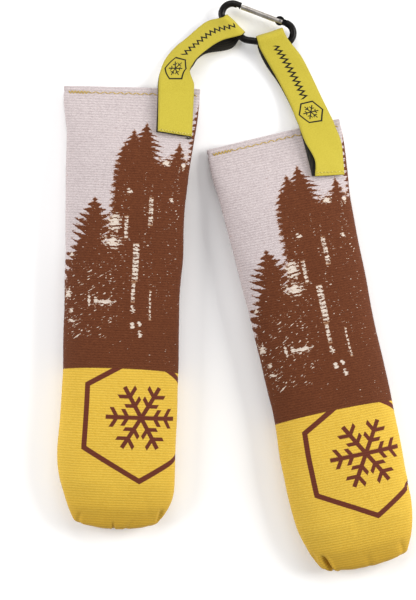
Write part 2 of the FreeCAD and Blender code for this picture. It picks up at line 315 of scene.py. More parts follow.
def forest(u, v):
    """Two masks: 1 where the wood is printed, and 1 where light shows through it."""
    ragged = noise(u * 0.30, v * 0.85, 3.1, 3.0, 0.62) - 0.5
    needles = noise(u * 0.62, v * 2.3, 7.7, 2.0, 0.6) - 0.5
    hollow = noise(u * 0.09, v * 0.01, 12.5, 1.0, 0.5) - 0.5
    wood = (v - WOOD_TOP + ragged * 14.0 + hollow * 30.0) * 0.6
    # its left side: branch tips, leaning out and then spreading far to the left
    tips = ((v + ragged * 9.0) / BRANCH_STEP).fraction() * BRANCH_LENGTH
    lean = (v - 60.0) * 0.05 + (v - 108.0).most(0.0) * 1.1
    wood = wood.least((u - WOOD_LEFT + tips + lean + ragged * 5.0) * 0.9)
    wood = wood.most((v - WOOD_LOW - ragged * 20.0) * 0.6)
    for tree in TREES:
        wood = wood.most(conifer(u, v, ragged, tree))
    printed = (wood + needles * 3.6).between(-0.35, 0.35)

    # openings, broken up by branches
    open_here = None
    for x, y, half_width, half_height in OPENINGS:
        near = 1.0 - length_of((u - x) / half_width, (v - y) / half_height)
        open_here = near if open_here is None else open_here.most(near)
    bars = (v + ragged * 7.0).wave(RUNG_STEP)
    patches = noise(u * 0.34, v * 0.62, 1.9, 2.0, 0.55)
    opening = (open_here * 0.9 + bars * 0.5 + patches * 1.5).between(1.36, 1.46)
    opening = opening * open_here.between(-0.35, 0.0)
    # flecks between the needles, in upright streaks
    flecks = noise(u * 0.50, v * 1.15, 9.3, 2.0, 0.5)
    columns = noise(u * 0.26, v * 0.012, 4.4, 1.0, 0.5) * 0.26
    band = (v - 100.0).size().between(25.0, 95.0) * 0.07
    fleck = (flecks + columns - band).between(0.835, 0.865)
    # light between the low branches on the left, slanting up to the right
    slant = noise(u * 0.24 - v * 0.13, v * 0.78 + u * 0.42, 6.6, 2.0, 0.5)
    low = (u * -1.0).between(-6.0, 14.0) * (v - 152.0).size().between(38.0, 20.0)
    slanting = (slant + low * 0.10).between(0.745, 0.770)
    # rungs of light between upright trunks
    ladder = None
    for x, top, bottom, half_width in LADDERS:
        across = half_width - (u - x + ragged * 2.0).size()
        inside = across.least((v - top) * 0.3).least((bottom - v) * 0.3)
        ladder = inside if ladder is None else ladder.most(inside)
    rungs = ladder.between(0.0, 0.4) * (bars + patches * 0.7).between(0.62, 0.74)
    opening = opening.most(rungs)
    return printed, opening.most(fleck).most(slanting)


def hexagon(x, y):
    """Distance to the middle of a hexagon that stands on a corner, measured across its sides."""
    along = x * math.cos(SIXTH)
    up = y * math.sin(SIXTH)
    return x.size().most((along + up).size()).most((along - up).size())


def snowflake(u, v):
    """How far inside the snowflake's strokes a point is, in millimetres."""
    x0, y0, radius, stroke = FLAKE
    x = u - x0
    y = v - y0
    r = length_of(x, y)
    turn = ((x.maths("ARCTAN2", y) / SIXTH).fraction() - 0.5) * SIXTH
    along = r * turn.maths("COSINE")
    out = (r * turn.maths("SINE")).size()
    arm = (stroke - out).least(radius - along)
    for start, barb in FLAKE_BARBS:
        line = ((along - start) * math.sin(SIXTH) - out * math.cos(SIXTH)).size()
        arm = arm.most((stroke * 0.9 - line).least(barb - out))
    return arm


RIB_PITCH = 1.8
WARP_PITCH = 0.9
WEAVE_DEPTH = 0.16


def printed_polyester():
    """Ribbed cloth with the forest above and the yellow foot with its emblem below."""
    material, tree, shader = new_material("printed_polyester")
    u, v, _ = place_on(tree, "flat")
    rib_drift = noise(u * 0.02, v * 0.05, 2.2, 1.0, 0.5) * 5.0
    rib = (v + rib_drift * 0.25).wave(RIB_PITCH)
    warp = (u + v * 0.22).wave(WARP_PITCH)
    weave = rib * 0.7 + warp * 0.3
    thread = noise(u * 1.1, v * 2.6, 5.5, 2.0, 0.6)
    broad = noise(u * 0.03, v * 0.03, 6.1, 2.0, 0.5)

    trees, light = forest(u, v)
    sky = mix(thread.between(0.30, 0.62), PALE_SHADE, PALE)
    wood = mix(thread.between(0.30, 0.70), BROWN_DARK, BROWN)
    upper = mix(trees, sky, wood)
    upper = mix(trees * light, upper, CREAM)
    fringe = (trees * (1.0 - trees)).most(light * (1.0 - light)) * 3.0
    upper = mix(fringe, upper, FRINGE)

    lower = mix(thread.between(0.25, 0.70), YELLOW_DEEP, YELLOW)
    # painted shade: the yellow darkens towards the bottom edge
    lower = mix(v.between(*BOTTOM_SHADE_SPAN) * 0.6, lower, YELLOW_PAINTED_SHADE)
    x0, y0, half_width, stroke = FRAME
    outline = stroke - (hexagon(u - x0, v - y0) - half_width).size()
    soft = (thread - 0.5) * 0.5
    lines = (outline.most(snowflake(u, v)) + soft).between(-0.2, 0.2)
    lower = mix(lines, lower, LINE_BROWN)

    bend = u * u * YELLOW_BEND
    edge = (v - YELLOW_FROM - bend + soft).between(-0.3, 0.3)
    base = mix(edge, upper, lower)
    grey = weave * 0.24 + broad * 0.10 + 0.825
    tree.links.new(shade(tree, base, grey), shader.inputs["Base Color"])
    shader.inputs["Roughness"].default_value = 0.8
    shader.inputs["Specular IOR Level"].default_value = 0.14
    shader.inputs["Sheen Weight"].default_value = 0.05
    shader.inputs["Sheen Roughness"].default_value = 0.4
    bump(tree, shader, weave + thread * 0.35, WEAVE_DEPTH)
    return material


# ----------------------------------------------------------- other materials

RIBBON_YELLOW = colour(212, 195, 66)
RIBBON_SHADE = colour(200, 182, 55)
RIBBON_BLACK = colour(22, 19, 14)
RIBBON_INSIDE = colour(36, 32, 22)
RIBBON_HINT = colour(150, 136, 60)
# emblem, millimetres along the ribbon from its front end and across it
EMBLEM_AT = 50.0
EMBLEM_HALF = 7.8
EMBLEM_STROKE = 0.55
EMBLEM_ARM = (5.8, 0.42)  # length, half stroke
EMBLEM_BARB = (3.0, 1.7, 0.38)  # where on the arm it starts, spread, half stroke
# band of peaks: first and last place, pitch, half height, half stroke
BAND = (61.0, 105.0, 3.7, 2.1, 0.66)
SELVEDGE_FROM = 11.3
PICK_PITCH = 0.62
ENDS_PITCH = 0.85


def ribbon_marks(s, t):
    """1 on the ribbon's woven marks: a flake in a hexagon, then a band of peaks."""
    x = s - EMBLEM_AT
    r = length_of(x, t)
    outline = EMBLEM_STROKE - (hexagon(x, t) - EMBLEM_HALF).size()
    turn = ((t.maths("ARCTAN2", x) / SIXTH).fraction() - 0.5) * SIXTH
    along = r * turn.maths("COSINE")
    out = (r * turn.maths("SINE")).size()
    arm_length, arm_stroke = EMBLEM_ARM
    arm = (arm_stroke - out).least(arm_length - along)
    start, spread, barb_stroke = EMBLEM_BARB
    line = ((along - start) * math.sin(SIXTH) - out * math.cos(SIXTH)).size()
    arm = arm.most((barb_stroke - line).least(spread - out))
    first, last, pitch, half, stroke = BAND
    peak = ((s / pitch).fraction() - 0.5).size() * (4 * half) - half
    # the peaks' sides are steep, so the distance across the stroke is about half of that along t
    zigzag = stroke - (peak - t).size() * 0.48
    zigzag = zigzag.least(s - first).least(last - s)
    return outline.most(arm).most(zigzag).between(-0.12, 0.12)


def ribbon_material(name, inside):
    """Woven ribbon: yellow outside, black inside with the marks showing through faintly."""
    material, tree, shader = new_material(name)
    s, t, _ = place_on(tree, "flat")
    thread = noise(s * 2.6, t * 1.1, 2.7, 2.0, 0.6)
    pick = s.wave(PICK_PITCH) * 0.6 + t.wave(ENDS_PITCH) * 0.4
    selvedge = (t.size() - SELVEDGE_FROM).between(-0.2, 0.2)
    marks = ribbon_marks(s, t)
    if inside:
        ground = mix(thread.between(0.35, 0.75), RIBBON_BLACK, RIBBON_INSIDE)
        base = mix(marks, ground, RIBBON_HINT)
        streak = (t + s * 0.35).wave(2.4).between(0.88, 0.99) * 0.10
        base = mix(streak, base, RIBBON_HINT)
    else:
        ground = mix(thread.between(0.25, 0.70), RIBBON_SHADE, RIBBON_YELLOW)
        base = mix(marks, ground, RIBBON_BLACK)
    grey = pick * 0.10 + selvedge * -0.05 + 0.93
    tree.links.new(shade(tree, base, grey), shader.inputs["Base Color"])
    shader.inputs["Roughness"].default_value = 0.6
    shader.inputs["Specular IOR Level"].default_value = 0.22
    shader.inputs["Sheen Weight"].default_value = 0.05
    bump(tree, shader, pick + selvedge * 0.5 + thread * 0.3, 0.07)
    return material


TWIST_PITCH = 0.42


def thread_material(name, light, dark):
    """Twisted sewing thread."""
    material, tree, shader = new_material(name)
    x, y, z = object_place(tree)
    strand = noise(x * 1.3, y * 1.3, 0.4, 2.0, 0.6)
    twist = (x + y * 1.4 + z).wave(TWIST_PITCH)
    base = mix(strand.between(0.3, 0.7), dark, light)
    tree.links.new(shade(tree, base, twist * 0.25 + 0.80), shader.inputs["Base Color"])
    shader.inputs["Roughness"].default_value = 0.5
    shader.inputs["Sheen Weight"].default_value = 0.2
    bump(tree, shader, twist, 0.06)
    return material


def metal_material(name, light, dark, metallic, roughness, grain):
    """Metal with fine grain along one way and worn, uneven gloss."""
    material, tree, shader = new_material(name)
    x, y, z = object_place(tree)
    cloud = noise(x * 0.25, y * 0.25, 1.2, 3.0, 0.6)
    scratch = noise(x * grain + z * 3.0, y * 3.0, 8.8, 2.0, 0.6)
    base = mix(cloud.between(0.35, 0.68), dark, light)
    tree.links.new(shade(tree, base, scratch * 0.3 + 0.85), shader.inputs["Base Color"])
    shader.inputs["Metallic"].default_value = metallic
    rough = cloud * 0.16 + scratch * 0.14 + (roughness - 0.15)
    tree.links.new(rough.socket, shader.inputs["Roughness"])
    bump(tree, shader, scratch + cloud, 0.02)
    return material


FLOOR_COLOUR = (0.97, 0.97, 0.97, 1.0)


def floor_material():
    material, _, shader = new_material("table")
    shader.inputs["Base Color"].default_value = FLOOR_COLOUR
    shader.inputs["Roughness"].default_value = 0.9
    shader.inputs["Specular IOR Level"].default_value = 0.0
    return material


# ------------------------------------------------------------------- pouches

TO_MIDDLE = np.array([-0.6, -0.5, 0.0])
PANEL_WIDTH = 99.0
BODY_HEIGHT = 34.0
EDGE_HEIGHT = 7.2
TABLE_SINK = 2.5
# the front's rise and the underside's height against distance down the bag
TOP_RISE = [(0, 0.0), (6, 0.06), (12, 0.2), (22, 0.42), (35, 0.64), (55, 0.86), (85, 0.97),
            (130, 1.0), (250, 1.0), (280, 0.95), (297, 0.78), (308, 0.5), (313, 0.27)]
UNDERSIDE = [(0, 4.8), (6, 3.4), (12, 1.4), (20, -1.0), (32, -TABLE_SINK), (285, -TABLE_SINK),
             (298, 0.2), (308, 4.5), (313, 8.5)]
AROUND = 80  # points round the bag
ROW_STEP = 3.0
LAST_ROW = 309.0
BOTTOM_BULGE = 4.6
BULGE_FROM = 280.0
BULGE_POWER = 2.4
EASE_REACH = 4.0
# the filling's push, in a cloth simulation
PRESSURE_FRAMES = 20
PRESSURE = 3.0
MOST_MOVED = 2.2
HELD_TOP = 22.0
HELD_BOTTOM = 311.0
HELD_BACK = 0.7
# seams
TOP_SEAM_AT = 3.7
SIDE_STITCH_STEP = 6.0
SIDE_STITCH = 3.2

# pouches: where the top edge's middle lies, the turn about Z, how far the left
# and right outlines are from the axis against distance down the bag, where the
# ribbon presses on the cloth (across, down), and how far the top edge's left
# and right corners are raised
POUCHES = {
    "left": {
        "at": (-73.5, 140.3), "turn": -2.3,
        "low": [(0, -49.6), (10, -49.0), (20, -47.2), (30, -45.6), (45, -45.1), (60, -44.7), (80, -44.0),
                (100, -43.2), (125, -42.6), (160, -41.7), (200, -41.0), (225, -41.3), (242, -42.1),
                (256, -42.8), (270, -42.2), (280, -40.3), (289, -37.0), (295, -35.0), (301, -32.8),
                (305, -31.0), (309, -28.6)],
        "high": [(0, 49.8), (10, 49.0), (20, 48.2), (30, 47.0), (45, 45.0), (60, 43.4), (80, 41.8),
                 (100, 41.2), (120, 41.8), (135, 40.9), (148, 40.2), (165, 40.9), (200, 41.5),
                 (240, 42.0), (286, 42.0), (292, 41.0), (298, 38.3), (303, 35.2), (309, 30.0)],
        "ribbon": (31.0, 42.0),
        "lift": (1.4, 2.9),
    },
    "right": {
        "at": (28.2, 106.4), "turn": 11.7,
        "low": [(0, -49.6), (10, -49.6), (20, -49.2), (35, -47.8), (50, -46.8), (70, -45.6), (100, -44.2),
                (140, -42.6), (165, -41.7), (190, -40.6), (205, -41.2), (228, -42.7), (250, -42.5),
                (270, -41.5), (280, -40.5), (289, -37.8), (295, -35.6), (301, -33.4), (305, -31.8),
                (309, -28.6)],
        "high": [(0, 49.6), (10, 49.4), (20, 48.4), (35, 47.0), (50, 45.1), (70, 44.4), (110, 43.9),
                 (150, 43.4), (170, 44.4), (240, 44.4), (270, 43.8), (280, 42.8), (289, 41.2),
                 (295, 39.6), (301, 37.3), (309, 33.0)],
        "ribbon": (33.0, 40.0),
        "lift": (0.9, 3.8),
    },
}
LIFT_REACH = 26.0  # the raising fades out over this distance down the bag
# creases: (u, v, how far the fold runs across and down, half width, depth)
CREASES = {
    "left": [(-38.0, 307.0, -5.0, 4.0, 1.8, 1.0), (-2.0, 313.0, 1.0, 4.0, 1.5, 1.4),
             (43.0, 304.0, 5.0, 5.0, 1.8, 1.7), (14.0, 311.0, -3.0, 4.0, 2.2, 0.6),
             (-16.0, 302.0, -4.0, 7.0, 3.0, 0.4), (26.0, 299.0, 5.0, 7.0, 3.0, 0.4)],
    "right": [(-36.0, 309.0, -1.0, 8.5, 1.9, 5.0), (-46.0, 302.0, -4.0, 6.0, 2.2, 1.2),
              (45.0, 262.0, 5.0, 4.0, 2.6, 1.0), (38.0, 305.0, 5.0, 5.0, 2.2, 0.8),
              (4.0, 310.0, 1.0, 5.0, 3.0, 0.5)],
}


def at_station(stations, v):
    places, values = zip(*stations)
    return np.interp(v, places, values)


def eased(stations, v):
    """A table's value at v, with its corners rounded off."""
    reach = np.linspace(-EASE_REACH, EASE_REACH, 9)
    return float(np.mean([at_station(stations, v + r) for r in reach]))


def top_height(v):
    """How high the bag's front stands above the table at distance v."""
    return EDGE_HEIGHT + (BODY_HEIGHT - EDGE_HEIGHT) * at_station(TOP_RISE, v)


def half_section(low, high, top, under, power, side):
    """One panel's outline at one distance down the bag, evenly spaced from the high side."""
    turn = np.linspace(0, math.pi, 400)
    c = np.cos(turn)
    s = np.sin(turn)
    x = (low + high) / 2 + (high - low) / 2 * np.sign(c) * np.abs(c) ** power
    z = (top + under) / 2 + side * (top - under) / 2 * s ** power
    z = np.maximum(z, 0.0)
    run = np.concatenate([[0], np.cumsum(np.hypot(np.diff(x), np.diff(z)))])
    even = np.linspace(0, run[-1], AROUND // 2 + 1)
    return np.interp(even, run, x), np.interp(even, run, z)


def to_row_frame(points, pouch):
    """Points in a pouch's own frame, in millimetres, to the row frame in metres."""
    turn = math.radians(pouch["turn"])
    c, s = math.cos(turn), math.sin(turn)
    x = points[:, 0] * c - points[:, 1] * s + pouch["at"][0]
    y = points[:, 0] * s + points[:, 1] * c + pouch["at"][1]
    return (np.stack([x, y, points[:, 2]], 1) + TO_MIDDLE) * MM


def lift_top(points, pouch):
    """Raise the top edge's corners, each by its own amount, in the pouch's own frame."""
    low, high = pouch["low"][0][1], pouch["high"][0][1]
    at_low, at_high = pouch["lift"]
    lift = at_low + (at_high - at_low) * (points[:, 0] - low) / (high - low)
    points[:, 1] += lift * np.clip(1 + points[:, 1] / LIFT_REACH, 0, 1) ** 1.5


def pouch_grid(pouch):
    """(points, faces, flat places) of a closed bag, in rows from the top edge to the bottom seam."""
    half = AROUND // 2
    rows_at = np.concatenate([[0.0, 1.5], np.arange(ROW_STEP, LAST_ROW + 0.1, ROW_STEP)])
    flat_u = np.linspace(PANEL_WIDTH / 2, -PANEL_WIDTH / 2, half + 1)
    points, flats, rings = [], [], []

    def seam_row(v, x, z):
        """A row where both panels meet: one ring that visits each point twice."""
        first = len(points)
        for k in range(half + 1):
            points.append((x[k], -v[k], z[k]))
            flats.append((flat_u[k], v[k], 0.0))
        rings.append([first + k for k in range(half + 1)] + [first + k for k in range(half - 1, 0, -1)])

    low, high = pouch["low"][0][1], pouch["high"][0][1]
    edge_x, _ = half_section(low + 0.6, high - 0.6, EDGE_HEIGHT, EDGE_HEIGHT - 2.4, 0.42, 1)
    seam_row(np.full(half + 1, -0.7), edge_x, np.full(half + 1, EDGE_HEIGHT - 1.2))
    for v in rows_at:
        power = 2.0 / (2.3 + 2.5 * max(0.0, 1 - v / 30))  # squarer at the flat top edge
        low, high = eased(pouch["low"], v), eased(pouch["high"], v)
        top, under = top_height(v), at_station(UNDERSIDE, v)
        first = len(points)
        bulge = BOTTOM_BULGE * max(0.0, (v - BULGE_FROM) / (LAST_ROW - BULGE_FROM)) ** 2
        for side in (1, -1):
            x, z = half_section(low, high, top, under, power, side)
            if side == -1:
                x, z, u = x[::-1][1:-1], z[::-1][1:-1], flat_u[::-1][1:-1]
            else:
                u = flat_u
            across = np.abs(2 * (x - low) / (high - low) - 1)
            down = v + bulge * (1 - across ** BULGE_POWER)
            for i in range(len(x)):
                points.append((x[i], -down[i], z[i]))
                flats.append((u[i], down[i], float(side)))
        rings.append(list(range(first, len(points))))
    low, high = eased(pouch["low"], LAST_ROW) + 4.0, eased(pouch["high"], LAST_ROW) - 4.0
    x = np.linspace(high, low, half + 1)
    across = np.abs(2 * (x - low) / (high - low) - 1)
    v = LAST_ROW + 1.2 + (BOTTOM_BULGE - 1.0) * (1 - across ** BULGE_POWER)
    seam_row(v, x, 9.5 + 1.2 * np.sin(x * 0.21))

    faces = []
    for upper, lower in zip(rings, rings[1:]):
        for k in range(AROUND):
            n = (k + 1) % AROUND
            faces.append((upper[k], upper[n], lower[n], lower[k]))
    points = np.array(points)
    lift_top(points, pouch)
    return points, faces, np.array(flats)


def write_flat(mesh, flats):
    """Stores where each point lies on the flat piece, in millimetres."""
    attribute = mesh.attributes.new("flat", "FLOAT_VECTOR", "POINT")
    attribute.data.foreach_set("vector", np.asarray(flats, np.float32).ravel())


def triples(mesh, collection, field):
    """One vector for each of the mesh's points, as rows of an array."""
    found = np.zeros(len(mesh.vertices) * 3, np.float32)
    collection.foreach_get(field, found)
    return found.reshape(-1, 3).astype(float)


def read_flat(mesh):
    return triples(mesh, mesh.attributes["flat"].data, "vector")


def read_points(mesh):
    return triples(mesh, mesh.vertices, "co")


def vertex_normals(mesh):
    return triples(mesh, mesh.vertex_normals, "vector")


def write_points(mesh, points):
    mesh.vertices.foreach_set("co", np.asarray(points, np.float32).ravel())
    mesh.update()


def add_mesh(name, points, faces):
    mesh = bpy.data.meshes.new(name)
    mesh.from_pydata([tuple(p) for p in points], [], faces)
    mesh.update()
    made = bpy.data.objects.new(name, mesh)
    scene.collection.objects.link(made)
    return made


def smooth_faces(mesh):
    mesh.polygons.foreach_set("use_smooth", [True] * len(mesh.polygons))


def subdivided(made, levels):
    """Replaces the object's mesh by its subdivision."""
    modifier = made.modifiers.new("fine", "SUBSURF")
    modifier.levels = levels
    graph = bpy.context.evaluated_depsgraph_get()
    finer = bpy.data.meshes.new_from_object(made.evaluated_get(graph))
    made.modifiers.remove(modifier)
    made.data = finer
    smooth_faces(finer)


def held_weights(flats, ribbon):
    """How firmly each point is held: under the ribbon, at both seams and on the table."""
    u, v, panel = flats.T
    across, down = ribbon
    under_ribbon = np.exp(-((u - across) / 19.0) ** 4 - ((v - 15.0) / down) ** 4)
    hold = np.maximum(under_ribbon, np.clip((HELD_TOP - v) / 12.0, 0, 1))
    hold = np.maximum(hold, np.clip((v - HELD_BOTTOM) / 3.0, 0, 1))
    return np.maximum(hold, (panel < 0) * HELD_BACK)


def fill_with_beads(pouches):
    """Lets the filling push the cloth out for a moment, held where it is sewn."""
    before = {}
    for side, made in pouches.items():
        hold = held_weights(read_flat(made.data), POUCHES[side]["ribbon"])
        group = made.vertex_groups.new(name="held")
        for i, weight in enumerate(hold):
            group.add([i], float(weight), "REPLACE")
        cloth = made.modifiers.new("filling", "CLOTH").settings
        cloth.quality = 6
        cloth.mass = 0.12
        cloth.tension_stiffness = 20.0
        cloth.compression_stiffness = 20.0
        cloth.shear_stiffness = 6.0
        cloth.bending_stiffness = 0.4
        cloth.use_pressure = True
        cloth.uniform_pressure_force = PRESSURE
        cloth.vertex_group_mass = "held"
        cloth.effector_weights.gravity = 0.0
        before[side] = read_points(made.data)
    for f in range(1, PRESSURE_FRAMES + 1):
        scene.frame_set(f)
    graph = bpy.context.evaluated_depsgraph_get()
    for side, made in pouches.items():
        puffed = read_points(made.evaluated_get(graph).to_mesh())
        made.modifiers.clear()
        made.vertex_groups.clear()
        moved = puffed - before[side]
        far = np.linalg.norm(moved, axis=1, keepdims=True)
        kept = moved * np.minimum(1.0, MOST_MOVED * MM / np.maximum(far, 1e-9))
        points = before[side] + kept
        points[:, 2] = np.maximum(points[:, 2], 0.0)
        write_points(made.data, points)
    scene.frame_set(1)


def detail_pouch(made, side):
    """Presses the seams, creases and the slight unevenness of the filling into the cloth."""
    mesh = made.data
    flats = read_flat(mesh)
    u, v, panel = flats.T
    sink = np.zeros(len(u))
    # the zigzag seam, drawn in a little at every stitch
    sink += 0.45 * np.exp(-((v - TOP_SEAM_AT) / 1.3) ** 2) * (0.8 + 0.2 * np.sin(u * math.pi / 3.2))
    # the side seams
    edge = PANEL_WIDTH / 2 - np.abs(u)
    sink += 0.30 * np.exp(-(edge / 0.9) ** 2) * np.clip((v - 6) / 10, 0, 1)
    sink += 0.03 * np.exp(-(edge / 3.5) ** 2) * np.sin(v * 2 * math.pi / SIDE_STITCH_STEP)
    # pulls that run down from the top seam
    pull = np.clip(1 - (v - 4.0) / 22.0, 0, 1) * (v > 4.0)
    sink += 0.07 * pull * np.sin(u * 0.83 + 0.6 * np.sin(u * 0.31))
    # beads under the cloth
    lumps = np.sin(u * 0.19 + 1.3 * np.sin(v * 0.043)) * np.sin(v * 0.11 + 1.1 * np.sin(u * 0.09))
    sink += 0.22 * lumps * np.clip((v - 30) / 40, 0, 1)
    for cu, cv, du, dv, width, depth in CREASES[side]:
        run = np.array([du, dv])
        long = float(np.hypot(*run))
        ahead = run / long
        along = (u - cu) * ahead[0] + (v - cv) * ahead[1]
        off = (v - cv) * ahead[0] - (u - cu) * ahead[1]
        fold = np.exp(-(off / width) ** 2) - 0.15 * np.exp(-((np.abs(off) - 2.2 * width) / width) ** 2)
        sink += depth * fold * np.exp(-(along / long) ** 4) * (panel > -0.5)
    points = read_points(mesh) - vertex_normals(mesh) * (sink * MM)[:, None]
    points[:, 2] = np.maximum(points[:, 2], 0.0)
    write_points(mesh, points)


def make_pouches(material):
    pouches = {}
    for side, pouch in POUCHES.items():
        points, faces, flats = pouch_grid(pouch)
        made = add_mesh(side + "_pouch", to_row_frame(points, pouch), faces)
        write_flat(made.data, flats)
        pouches[side] = made
    fill_with_beads(pouches)
    for side, made in pouches.items():
        subdivided(made, 2)
        detail_pouch(made, side)
        made.data.materials.append(material)
        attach(made, side + "_pouch")
        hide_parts(*(side + part for part in
                            ("_front_panel", "_back_panel", "_liner_bag", "_drying_beads")))
    return pouches


# -------------------------------------------------------------------- thread

THREAD_SUNK = 0.12  # how far a stitch's ends press into the cloth
TOP_THREAD = 0.36  # radii
SIDE_THREAD = 0.22
RIBBON_THREAD = 0.36
KNOT_THREAD = 0.26
ABOVE = 60.0  # a height over the whole part, to look down from
BESIDE = 80.0  # a distance past a pouch's sides, to look in from
DOWNWARDS = (0, 0, -1)
DENSE_FOR = 13.0
# zigzag: step along the seam, half its height
DENSE_ZIGZAG = (1.15, 1.0)
OPEN_ZIGZAG = (2.9, 0.62)


def tube(points, radius, sides=8):
    """(points, faces) of a closed round tube along a line, narrower at its ends."""
    line = np.array(points, float)
    made, faces = [], []
    for i, p in enumerate(line):
        ahead = line[min(i + 1, len(line) - 1)] - line[max(i - 1, 0)]
        ahead = ahead / np.linalg.norm(ahead)
        across = np.cross(ahead, (0, 0, 1.0))
        if np.linalg.norm(across) < 1e-6:
            across = np.array([1.0, 0, 0])
        across = across / np.linalg.norm(across)
        up = np.cross(across, ahead)
        r = radius * (0.55 if i in (0, len(line) - 1) else 1.0)
        for k in range(sides):
            t = 2 * math.pi * k / sides
            made.append(p + r * (math.cos(t) * across + math.sin(t) * up))
    for i in range(len(line) - 1):
        for k in range(sides):
            n = (k + 1) % sides
            faces.append((i * sides + k, (i + 1) * sides + k, (i + 1) * sides + n, i * sides + n))
    faces.append(tuple(range(sides)))
    faces.append(tuple((len(line) - 1) * sides + k for k in range(sides))[::-1])
    return made, faces


def thread_object(name, runs, radius, material):
    """One mesh of many short threads; runs are lists of points in metres."""
    points, faces = [], []
    for run in runs:
        more, more_faces = tube(run, radius * MM)
        faces += [tuple(i + len(points) for i in face) for face in more_faces]
        points += more
    made = add_mesh(name, points, faces)
    smooth_faces(made.data)
    made.data.materials.append(material)
    return made


def surface_finder(made):
    """A function that gives the point where a ray meets the surface, or None."""
    corners = [v.co for v in made.data.vertices]
    tree = BVHTree.FromPolygons(corners, [p.vertices[:] for p in made.data.polygons])

    def find(start, way):
        point = tree.ray_cast(Vector(start), Vector(way).normalized())[0]
        return None if point is None else np.array(point)
    return find


def stitch(find, a, b, way, height, count=5):
    """A thread from a to b along the surface, arched up by height, or None where it misses."""
    run = []
    for i in range(count):
        share = i / (count - 1)
        start = np.array(a) * (1 - share) + np.array(b) * share
        point = find(start, way)
        if point is None:
            return None
        arch = height * (1 - (2 * share - 1) ** 2) - THREAD_SUNK
        run.append(point - np.array(way) / np.linalg.norm(way) * arch * MM)
    return run


def top_seam_runs(side, find):
    """Zigzag stitches along the top edge, with a dense block at its low end."""
    pouch = POUCHES[side]
    runs = []
    x = pouch["low"][0][1] + 4.6
    last = pouch["high"][0][1] - 4.0
    swing = 1
    dense_to = x + DENSE_FOR
    while x < last:
        step, reach = DENSE_ZIGZAG if x < dense_to else OPEN_ZIGZAG
        lean = random.uniform(-0.12, 0.12)
        a = (x, -TOP_SEAM_AT + swing * reach + lean, ABOVE)
        b = (x + step * 0.92, -TOP_SEAM_AT - swing * reach + lean, ABOVE)
        pair = np.array([a, b])
        lift_top(pair, pouch)
        start, end = to_row_frame(pair, pouch)
        run = stitch(find, start, end, DOWNWARDS, 0.42)
        if run:
            runs.append(run)
        x += step
        swing = -swing
    return runs


def side_seam_runs(side, find):
    """Straight stitches down both sides, where the panels are joined."""
    pouch = POUCHES[side]
    runs = []
    for v in np.arange(20.0, 285.0, SIDE_STITCH_STEP):
        z = (top_height(v) + at_station(UNDERSIDE, v)) / 2 - 5.0
        for sign in (-1, 1):
            pair = np.array([(sign * BESIDE, -v, z), (sign * BESIDE, -v - SIDE_STITCH, z)])
            start, end = to_row_frame(pair, pouch)
            turn = math.radians(pouch["turn"])
            way = (-sign * math.cos(turn), -sign * math.sin(turn), 0.0)
            run = stitch(find, start, end, way, 0.34)
            if run:
                runs.append(run)
    return runs


def make_pouch_threads(pouches, yellow, brown):
    for side, made in pouches.items():
        find = surface_finder(made)
        top = thread_object(side + "_top_seam", top_seam_runs(side, find), TOP_THREAD, yellow)
        sides = thread_object(side + "_side_seams", side_seam_runs(side, find), SIDE_THREAD, brown)
        for piece, node, slot in ((top, "_top_seam_thread", "yellow_thread"),
                                  (sides, "_side_seam_thread", "brown_thread")):
            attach(piece, side + "_pouch")
            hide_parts(side + node)


# ------------------------------------------------------------------- ribbons

RIBBON_WIDTH = 25.0
RIBBON_THICK = 0.9
LAYER_STEP = 1.4
WRAP_OUT = 3.5  # from the bar's middle to the ribbon's, level with the bar
WRAP_UP = 6.3  # and over and under the bar, where the loop is slack
SAMPLE = 1.2
ACROSS = 12

